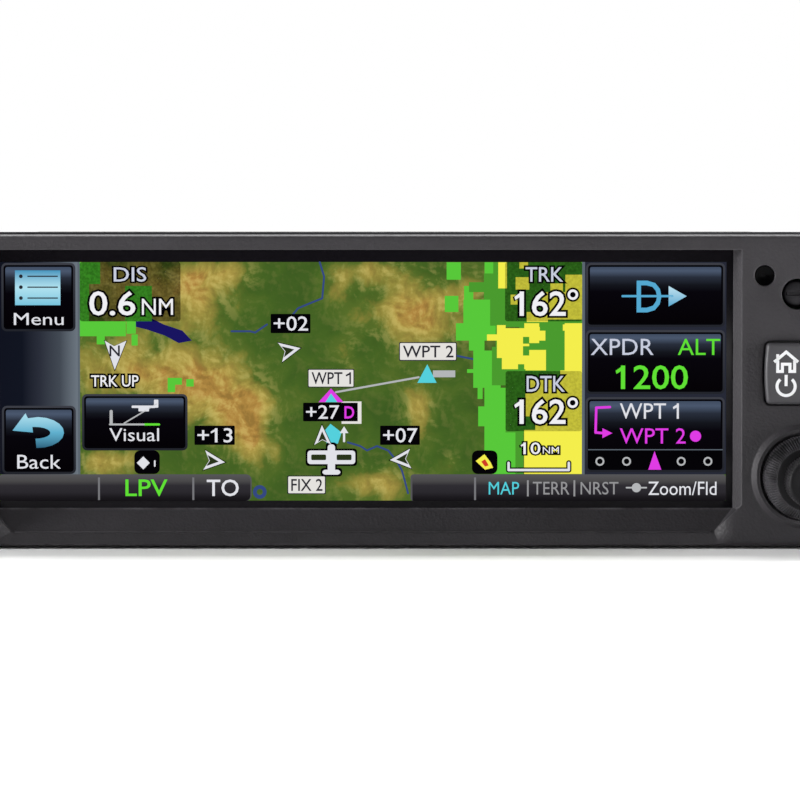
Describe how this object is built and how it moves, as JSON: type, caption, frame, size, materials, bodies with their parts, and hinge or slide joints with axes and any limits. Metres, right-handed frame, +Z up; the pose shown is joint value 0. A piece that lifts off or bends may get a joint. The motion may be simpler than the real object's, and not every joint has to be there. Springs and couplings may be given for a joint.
{
  "type": "panel-mount aviation gps navigator",
  "caption": "Panel-mounted touch-screen aviation navigator with home key, dual push knob, memory card, rack lock and finned chassis.",
  "frame": {"origin": "under the middle of the whole unit, at the height of its base", "axes": "+X to the pilot's right, +Y from the knob towards the rear connectors, +Z up"},
  "size_m": [0.1588, 0.286, 0.0508],
  "materials": {
    "bezel_paint": "fine-textured charcoal paint on a moulded bezel",
    "frame_finish": "black anodised casting",
    "cover_glass": "optically bonded black-bordered touch glass, satin gloss",
    "display_image": "lit colour display",
    "rubber": "matt black",
    "tin_plate": "bright tin plate",
    "circuit_board": "green solder mask on glass-fibre board",
    "key_plastic": "satin charcoal keycap",
    "knob_plastic": "satin black, fine knurl",
    "black_plastic": "satin black",
    "white_plastic": "white",
    "plated_steel": "clear zinc-plated sheet",
    "bright_steel": "bright machined",
    "nickel_plate": "nickel-plated",
    "bare_aluminium": "bead-blasted, clear conversion coat",
    "black_aluminium": "black anodised"
  },
  "bodies": {
    "unit": {"front_bezel": "bezel_paint", "bezel_back_frame": "frame_finish", "display_glass": "cover_glass", "lcd_panel": "display_image", "glass_gasket": "rubber", "key_dome_pad": "rubber", "backlight_tray": "tin_plate", "push_switch": "tin_plate", "card_reader": "tin_plate", "receiver_shield": "tin_plate", "transmitter_shield": "tin_plate", "display_board": "circuit_board", "control_board": "circuit_board", "card_board": "circuit_board", "main_board": "circuit_board", "light_sensor_window": "black_plastic", "supply_module": "black_plastic", "display_ribbon": "black_plastic", "gps_antenna_lead": "black_plastic", "light_sensor": "white_plastic", "encoder_body": "plated_steel", "lock_bracket": "plated_steel", "chassis": "plated_steel", "top_cover": "plated_steel", "lock_pivot_pin": "bright_steel", "bezel_screw_1": "bright_steel", "bezel_screw_2": "bright_steel", "bezel_screw_3": "bright_steel", "bezel_screw_4": "bright_steel", "cover_screw_1": "bright_steel", "cover_screw_2": "bright_steel", "cover_screw_3": "bright_steel", "cover_screw_4": "bright_steel", "rear_plate_screw_1": "bright_steel", "rear_plate_screw_2": "bright_steel", "rear_plate_screw_3": "bright_steel", "rear_plate_screw_4": "bright_steel", "encoder_nut": "nickel_plate", "main_connector": "nickel_plate", "second_connector": "nickel_plate", "gps_antenna_connector": "nickel_plate", "transponder_antenna_connector": "nickel_plate", "board_standoff_1": "nickel_plate", "board_standoff_2": "nickel_plate", "board_standoff_3": "nickel_plate", "board_standoff_4": "nickel_plate", "rear_plate": "bare_aluminium", "heat_sink": "black_aluminium"},
    "home_key": {"home_power_key": "key_plastic"},
    "outer_knob": {"outer_knob": "knob_plastic", "outer_shaft": "bright_steel", "outer_knob_set_screw": "bright_steel"},
    "push_plunger": {"push_plunger": "black_plastic"},
    "inner_knob": {"inner_knob": "knob_plastic", "inner_shaft": "bright_steel", "inner_knob_set_screw": "bright_steel"},
    "memory_card": {"memory_card": "black_plastic"},
    "lock_screw": {"lock_screw": "bright_steel"},
    "lock_nut": {"lock_nut": "nickel_plate"},
    "lock_pawl": {"lock_pawl": "nickel_plate"}
  },
  "joints": [
    {"name": "home_key_press", "type": "slide", "parent": "unit", "child": "home_key", "axis": [0, 1, 0], "range_m": [0, 0.0008], "stiffness_N_per_m": 1500},
    {"name": "outer_knob_turn", "type": "hinge", "parent": "unit", "child": "outer_knob", "pos_m": [0.06592, -0.1295, 0.01175], "axis": [0, 1, 0], "continuous": true},
    {"name": "knob_push", "type": "slide", "parent": "unit", "child": "push_plunger", "axis": [0, 1, 0], "range_m": [0, 0.0006], "stiffness_N_per_m": 2000},
    {"name": "inner_knob_turn", "type": "hinge", "parent": "push_plunger", "child": "inner_knob", "pos_m": [0.06592, -0.1385, 0.01175], "axis": [0, 1, 0], "continuous": true},
    {"name": "card_slide", "type": "slide", "parent": "unit", "child": "memory_card", "axis": [0, -1, 0], "range_m": [-0.0008, 0.026]},
    {"name": "lock_turn", "type": "hinge", "parent": "unit", "child": "lock_screw", "pos_m": [0.06477, -0.1145, 0.04095], "axis": [0, 1, 0], "range_deg": [0, 720]},
    {"name": "lock_nut_travel", "type": "slide", "parent": "unit", "child": "lock_nut", "axis": [0, 1, 0], "range_m": [-0.001, 0]},
    {"name": "pawl_tilt", "type": "hinge", "parent": "unit", "child": "lock_pawl", "pos_m": [0.06477, -0.0805, 0.04505], "axis": [1, 0, 0], "range_deg": [-28, 0]}
  ],
  "couplings": [
    {"joint": "lock_turn", "follows": "lock_nut_travel", "rad_per_m": -12566},
    {"joint": "pawl_tilt", "follows": "lock_nut_travel", "rad_per_m": 488.69}
  ]
}
